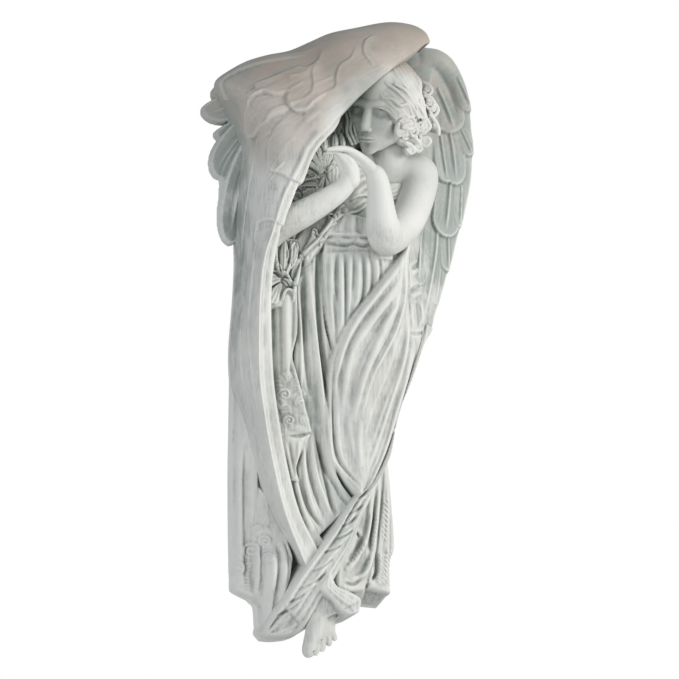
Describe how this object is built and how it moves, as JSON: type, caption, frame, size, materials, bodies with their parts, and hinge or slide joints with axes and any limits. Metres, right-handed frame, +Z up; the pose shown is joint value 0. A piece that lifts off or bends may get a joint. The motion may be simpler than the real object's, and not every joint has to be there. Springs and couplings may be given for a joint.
{
  "type": "angel wall frieze",
  "caption": "Tall high-relief wall frieze of a robed angel with folded wings, bowed head and raised hands, cast in one piece with a flat back.",
  "frame": {"origin": "hanging point on the flat back, about two thirds of the way up", "axes": "+Z up the frieze, -Y out from the wall towards the viewer, +X to the viewer's right"},
  "size_m": [0.3527, 0.1442, 0.7846],
  "materials": {
    "antique_stone": "pale antique cast stone, matt, with a grey-green wash left in the recesses"
  },
  "bodies": {
    "root": {"angel_frieze": "antique_stone"}
  },
  "joints": []
}
